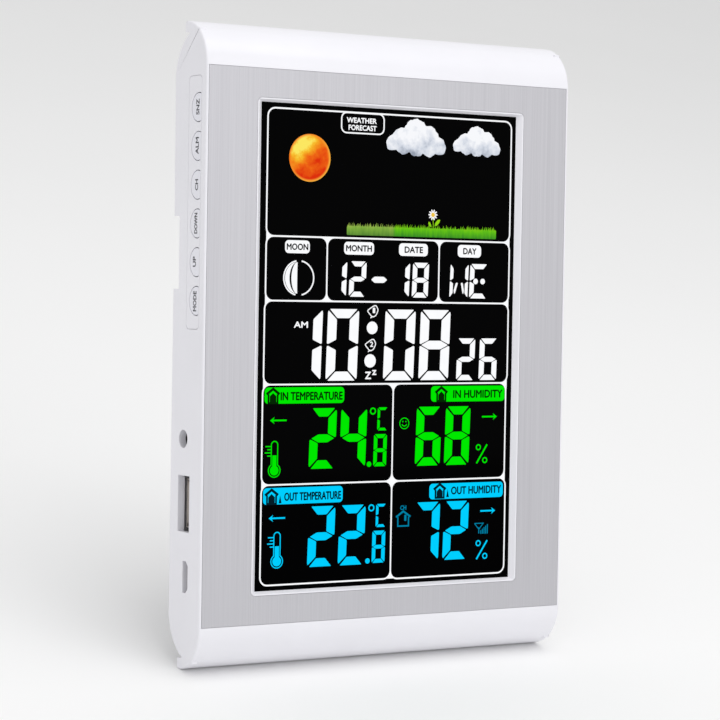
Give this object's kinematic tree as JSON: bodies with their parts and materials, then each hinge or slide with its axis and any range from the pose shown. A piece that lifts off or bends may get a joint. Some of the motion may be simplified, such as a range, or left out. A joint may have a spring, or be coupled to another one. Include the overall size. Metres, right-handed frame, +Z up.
{
  "type": "home weather station",
  "caption": "Slim desk weather station with a tall colour display, brushed face plate, six side keys, three side sockets, battery bay and fold-out stand.",
  "frame": {"origin": "centre of the bounding box's underside: the table under the unit as it stands on its open stand", "axes": "+Z up, the display faces -Y and leans back by 15 degrees, +X to the right of someone who reads it"},
  "size_m": [0.1172, 0.0666, 0.1678],
  "materials": {
    "white_shell": "satin gloss moulded white",
    "white_cover": "fine matte moulded white",
    "white_key": "satin white, printed",
    "key_print": "dark printed lettering",
    "brushed_plate": "brushed upright, clear coated",
    "tinted_window": "dark tinted acrylic, clear only where the display shines",
    "display_black": "black negative display",
    "display_white": "backlit white segments",
    "display_green": "backlit green segments",
    "display_cyan": "backlit cyan segments",
    "display_sun": "backlit yellow to red segments",
    "display_grass": "backlit dull green segments",
    "clear_acrylic": "clear acrylic light guide",
    "tray_white": "white moulding",
    "led_strip": "white board with yellow lamps",
    "pink_rubber": "conductive elastomer",
    "board_green": "soldermask",
    "epoxy_black": "glossy epoxy drop",
    "chip_black": "moulded package",
    "socket_black": "black nylon",
    "bright_metal": "tinned metal",
    "sleeve_blue": "shrink sleeve",
    "lead_red": "red insulation",
    "lead_grey": "grey insulation",
    "plunger_cream": "switch stem",
    "spring_steel": "nickel plated",
    "battery_label": "printed sleeve",
    "pin_steel": "drawn steel",
    "screw_steel": "zinc plated",
    "foot_rubber": "soft rubber"
  },
  "bodies": {
    "housing": {"front_shell": "white_shell", "face_plate": "brushed_plate", "display_window": "tinted_window", "display_glass": "display_black", "light_guide": "clear_acrylic", "backlight_tray": "tray_white", "backlight_strip": "led_strip", "zebra_strip": "pink_rubber", "main_board": "board_green", "controller_chip": "epoxy_black", "board_chips": "chip_black", "clock_crystal": "bright_metal", "capacitors": "sleeve_blue", "radio_board": "board_green", "antenna_wire": "lead_red", "climate_sensor": "board_green", "buzzer": "chip_black", "key_strip": "white_shell", "key_board": "board_green", "key_switches": "chip_black", "socket_board": "board_green", "power_socket": "socket_black", "power_socket_pin": "bright_metal", "usb_shell": "bright_metal", "usb_tongue": "tray_white", "micro_usb_shell": "bright_metal", "micro_usb_tongue": "socket_black", "socket_board_parts": "chip_black", "rear_cover": "white_cover", "battery_springs": "spring_steel", "battery_plates": "spring_steel", "battery_1": "battery_label", "battery_2": "battery_label", "battery_3": "battery_label", "stand_pin": "pin_steel", "cover_screws": "screw_steel", "board_screws": "screw_steel", "socket_screws": "screw_steel", "key_leads": "lead_grey", "power_leads": "lead_red", "battery_leads": "lead_red"},
    "stand": {"stand": "white_cover", "stand_foot": "foot_rubber"},
    "battery_door": {"battery_door": "white_cover"},
    "key_snooze": {"key_snooze": "white_key"},
    "key_alarm": {"key_alarm": "white_key"},
    "key_channel": {"key_channel": "white_key"},
    "key_down": {"key_down": "white_key"},
    "key_up": {"key_up": "white_key"},
    "key_mode": {"key_mode": "white_key"},
    "plunger_snooze": {"plunger_snooze": "plunger_cream"},
    "plunger_alarm": {"plunger_alarm": "plunger_cream"},
    "plunger_channel": {"plunger_channel": "plunger_cream"},
    "plunger_down": {"plunger_down": "plunger_cream"},
    "plunger_up": {"plunger_up": "plunger_cream"},
    "plunger_mode": {"plunger_mode": "plunger_cream"}
  },
  "joints": [
    {"name": "stand_fold", "type": "hinge", "parent": "housing", "child": "stand", "pos_m": [0, 0.01261, 0.10147], "axis": [-1, 0, 0], "range_deg": [0, 25]},
    {"name": "battery_door_slide", "type": "slide", "parent": "housing", "child": "battery_door", "axis": [0, 0.2588, 0.9659], "range_m": [0, 0.042]},
    {"name": "key_snooze_press", "type": "hinge", "parent": "housing", "child": "key_snooze", "pos_m": [-0.05835, 0.00567, 0.14723], "axis": [0, -0.2588, -0.9659], "range_deg": [0, 6], "stiffness_Nm_per_rad": 0.05},
    {"name": "plunger_snooze_slide", "type": "slide", "parent": "housing", "child": "plunger_snooze", "axis": [1, 0, 0], "range_m": [0, 0.0004]},
    {"name": "key_alarm_press", "type": "hinge", "parent": "housing", "child": "key_alarm", "pos_m": [-0.05835, 0.00301, 0.13734], "axis": [0, -0.2588, -0.9659], "range_deg": [0, 6], "stiffness_Nm_per_rad": 0.05},
    {"name": "plunger_alarm_slide", "type": "slide", "parent": "housing", "child": "plunger_alarm", "axis": [1, 0, 0], "range_m": [0, 0.0004]},
    {"name": "key_channel_press", "type": "hinge", "parent": "housing", "child": "key_channel", "pos_m": [-0.05835, 0.00036, 0.12745], "axis": [0, -0.2588, -0.9659], "range_deg": [0, 6], "stiffness_Nm_per_rad": 0.05},
    {"name": "plunger_channel_slide", "type": "slide", "parent": "housing", "child": "plunger_channel", "axis": [1, 0, 0], "range_m": [0, 0.0004]},
    {"name": "key_down_press", "type": "hinge", "parent": "housing", "child": "key_down", "pos_m": [-0.05835, -0.00229, 0.11756], "axis": [0, -0.2588, -0.9659], "range_deg": [0, 6], "stiffness_Nm_per_rad": 0.05},
    {"name": "plunger_down_slide", "type": "slide", "parent": "housing", "child": "plunger_down", "axis": [1, 0, 0], "range_m": [0, 0.0004]},
    {"name": "key_up_press", "type": "hinge", "parent": "housing", "child": "key_up", "pos_m": [-0.05835, -0.00494, 0.10766], "axis": [0, -0.2588, -0.9659], "range_deg": [0, 6], "stiffness_Nm_per_rad": 0.05},
    {"name": "plunger_up_slide", "type": "slide", "parent": "housing", "child": "plunger_up", "axis": [1, 0, 0], "range_m": [0, 0.0004]},
    {"name": "key_mode_press", "type": "hinge", "parent": "housing", "child": "key_mode", "pos_m": [-0.05835, -0.00759, 0.09777], "axis": [0, -0.2588, -0.9659], "range_deg": [0, 6], "stiffness_Nm_per_rad": 0.05},
    {"name": "plunger_mode_slide", "type": "slide", "parent": "housing", "child": "plunger_mode", "axis": [1, 0, 0], "range_m": [0, 0.0004]}
  ],
  "couplings": [
    {"joint": "plunger_snooze_slide", "follows": "key_snooze_press", "m_per_rad": 0.0037},
    {"joint": "plunger_alarm_slide", "follows": "key_alarm_press", "m_per_rad": 0.0037},
    {"joint": "plunger_channel_slide", "follows": "key_channel_press", "m_per_rad": 0.0037},
    {"joint": "plunger_down_slide", "follows": "key_down_press", "m_per_rad": 0.0037},
    {"joint": "plunger_up_slide", "follows": "key_up_press", "m_per_rad": 0.0037},
    {"joint": "plunger_mode_slide", "follows": "key_mode_press", "m_per_rad": 0.0037}
  ]
}
